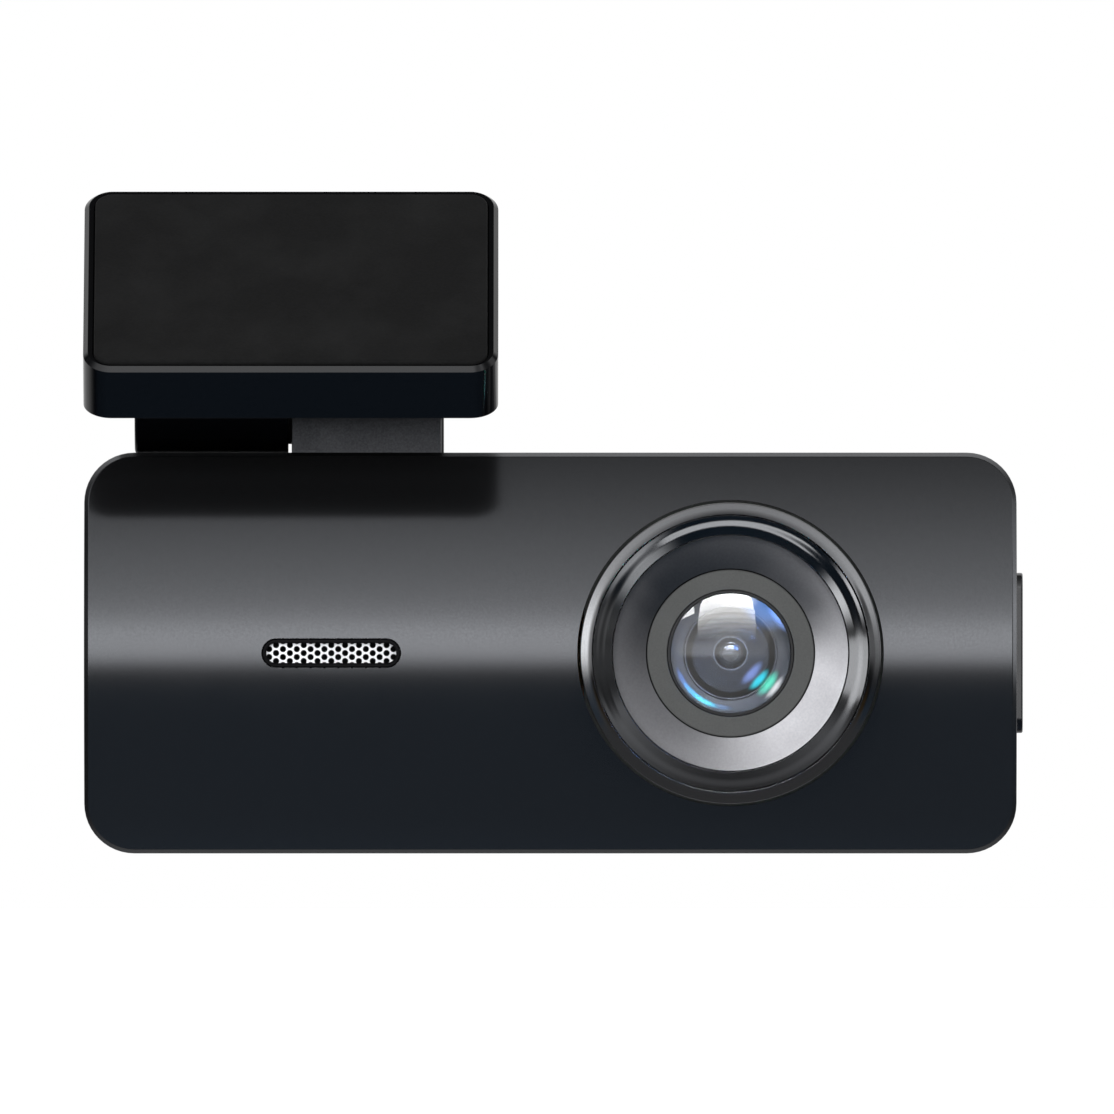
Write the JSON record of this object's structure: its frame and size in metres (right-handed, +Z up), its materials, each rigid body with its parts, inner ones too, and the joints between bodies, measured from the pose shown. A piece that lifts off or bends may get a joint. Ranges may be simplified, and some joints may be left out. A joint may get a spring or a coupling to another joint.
{
  "type": "dash camera",
  "caption": "Wide low dash camera with a bulged front, an off-centre lens turret, a sound grille and a side key, tilting on a friction hinge under a sloping adhesive bracket.",
  "frame": {"origin": "centre of the adhesive pad's outer face, the face that sticks to the windscreen", "axes": "+X across towards the lens end, -Y the way the lens looks, +Z up as it hangs in the car; the pad faces forward and up at 40 degrees"},
  "size_m": [0.0866, 0.0318, 0.0612],
  "materials": {
    "case_grey": "satin, fine metallic grain",
    "knuckle_grey": "satin",
    "gloss_black": "gloss",
    "inner_black": "matt",
    "foam_tape": "matt foam tape",
    "rubber_black": "matt",
    "fibre_black": "matt",
    "steel": "bright",
    "dark_bezel": "dark anodised, satin",
    "turned_metal": "turned, satin",
    "collar_grey": "matt",
    "lens_glass": "coated",
    "filter_glass": "coated",
    "circuit_board": "solder mask",
    "film_amber": "film",
    "chip_black": "moulded",
    "light_plastic": "moulded",
    "clear_plastic": "clear",
    "gold_contact": "plated",
    "thermal_rubber": "soft",
    "aluminium": "rolled",
    "cell_wrap": "foil pouch",
    "card_black": "matt"
  },
  "bodies": {
    "bracket": {"bracket_shell": "gloss_black", "pad_plate": "inner_black", "adhesive_pad": "foam_tape", "pad_plate_screws": "steel", "hinge_arm": "gloss_black", "hinge_arm_screws": "steel", "hinge_pin": "steel", "friction_washer": "fibre_black", "disc_springs": "steel", "lock_nut": "steel", "hinge_cap_left": "gloss_black"},
    "camera": {"front_shell": "case_grey", "rear_cover": "case_grey", "rear_cover_screws": "steel", "body_knuckle": "knuckle_grey", "knuckle_screws": "steel", "hinge_cap_right": "gloss_black", "lens_bezel": "dark_bezel", "lens_trim_ring": "turned_metal", "lens_cone": "turned_metal", "lens_collar": "collar_grey", "lens_barrel": "inner_black", "front_lens": "lens_glass", "lens_spacer": "fibre_black", "second_lens": "lens_glass", "aperture_stop": "fibre_black", "third_lens": "lens_glass", "ir_filter": "filter_glass", "lens_holder": "inner_black", "image_sensor": "chip_black", "sensor_board": "circuit_board", "sensor_board_screws": "steel", "sensor_flex": "film_amber", "grille_frame": "gloss_black", "grille_mesh": "steel", "speaker_gasket": "rubber_black", "speaker": "inner_black", "spring_contacts": "gold_contact", "main_board": "circuit_board", "main_board_screws": "steel", "board_connectors": "light_plastic", "processor": "chip_black", "memory_chip": "chip_black", "thermal_pad": "thermal_rubber", "heat_spreader": "aluminium", "radio_module": "steel", "radio_antenna": "gold_contact", "backup_battery": "cell_wrap", "microphone": "inner_black", "power_socket": "steel", "card_socket": "steel", "indicator_led": "light_plastic", "light_pipe": "clear_plastic", "key_switch": "steel", "key_board": "circuit_board", "key_flex": "film_amber"},
    "side_key": {"side_key_cap": "gloss_black", "switch_plunger": "light_plastic"},
    "card": {"memory_card": "card_black"}
  },
  "joints": [
    {"name": "tilt", "type": "hinge", "parent": "bracket", "child": "camera", "pos_m": [-0.00015, 0.01332, -0.01136], "axis": [1, 0, 0], "range_deg": [-30, 55]},
    {"name": "key_press", "type": "slide", "parent": "camera", "child": "side_key", "axis": [-1, 0, 0], "range_m": [0, 0.0004], "stiffness_N_per_m": 800},
    {"name": "card_pull", "type": "slide", "parent": "camera", "child": "card", "axis": [-1, 0, 0], "range_m": [0, 0.015]}
  ]
}
